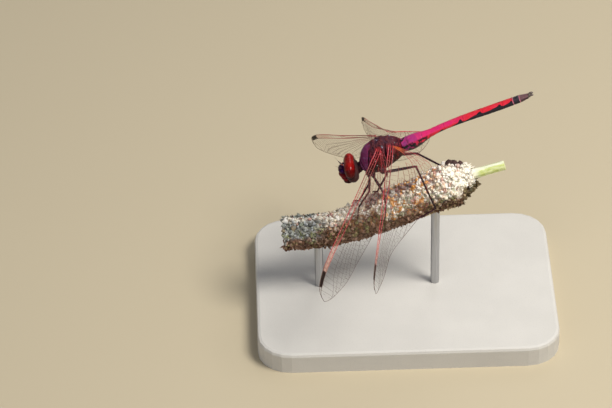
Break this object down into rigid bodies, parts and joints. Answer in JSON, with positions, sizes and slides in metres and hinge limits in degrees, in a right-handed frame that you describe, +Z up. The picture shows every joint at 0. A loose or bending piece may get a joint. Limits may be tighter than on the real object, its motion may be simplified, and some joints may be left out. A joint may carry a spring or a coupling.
{
  "type": "dragonfly",
  "caption": "Life-size male violet dropwing dragonfly, wings held low and forward, gripping a short length of dry seed spike on a plain display stand.",
  "frame": {"origin": "middle of the display stand's flat underside", "axes": "+Z up; the insect's head points to -Y and its tail to +Y and up; its left side is +X"},
  "size_m": [0.0496, 0.054, 0.0453],
  "materials": {
    "thorax": "violet bloom over dark red, fine short hairs",
    "head": "dark red face with a metallic violet forehead, dark brown at the back",
    "eye": "deep glossy red compound eye",
    "abdomen": "magenta at the base to red-pink, black marks low on the sides",
    "abdomen_tip": "black with thin pinkish rings",
    "leg": "black with a purple-brown sheen, bristly",
    "wing": "clear thin membrane with red and dark veins and a dark cell near the tip",
    "seed_spike": "dry seed capsules, pale cream above and brown below",
    "stem": "fresh green, finely ribbed and downy",
    "stand_base": "plain pale matte paint",
    "stand_rod": "satin steel"
  },
  "bodies": {
    "root": {"abdomen_segment_01": "abdomen", "abdomen_segment_02": "abdomen", "abdomen_segment_03": "abdomen", "abdomen_segment_04": "abdomen", "abdomen_segment_05": "abdomen", "abdomen_segment_06": "abdomen", "abdomen_segment_07": "abdomen", "abdomen_segment_08": "abdomen_tip", "abdomen_segment_09": "abdomen_tip", "abdomen_segment_10": "abdomen_tip", "antenna_left": "leg", "antenna_right": "leg", "cercus_left": "abdomen_tip", "cercus_right": "abdomen_tip", "eye_left": "eye", "eye_right": "eye", "forewing_left": "wing", "forewing_right": "wing", "head": "head", "hindwing_left": "wing", "hindwing_right": "wing", "labium": "head", "leg_front_left_femur": "leg", "leg_front_left_tarsus": "leg", "leg_front_left_tibia": "leg", "leg_front_right_femur": "leg", "leg_front_right_tarsus": "leg", "leg_front_right_tibia": "leg", "leg_hind_left_femur": "leg", "leg_hind_left_tarsus": "leg", "leg_hind_left_tibia": "leg", "leg_hind_right_femur": "leg", "leg_hind_right_tarsus": "leg", "leg_hind_right_tibia": "leg", "leg_middle_left_femur": "leg", "leg_middle_left_tarsus": "leg", "leg_middle_left_tibia": "leg", "leg_middle_right_femur": "leg", "leg_middle_right_tarsus": "leg", "leg_middle_right_tibia": "leg", "neck": "thorax", "perch_spike": "seed_spike", "perch_stem": "stem", "stand_base": "stand_base", "stand_rod_back": "stand_rod", "stand_rod_front": "stand_rod", "thorax": "thorax"}
  },
  "joints": []
}
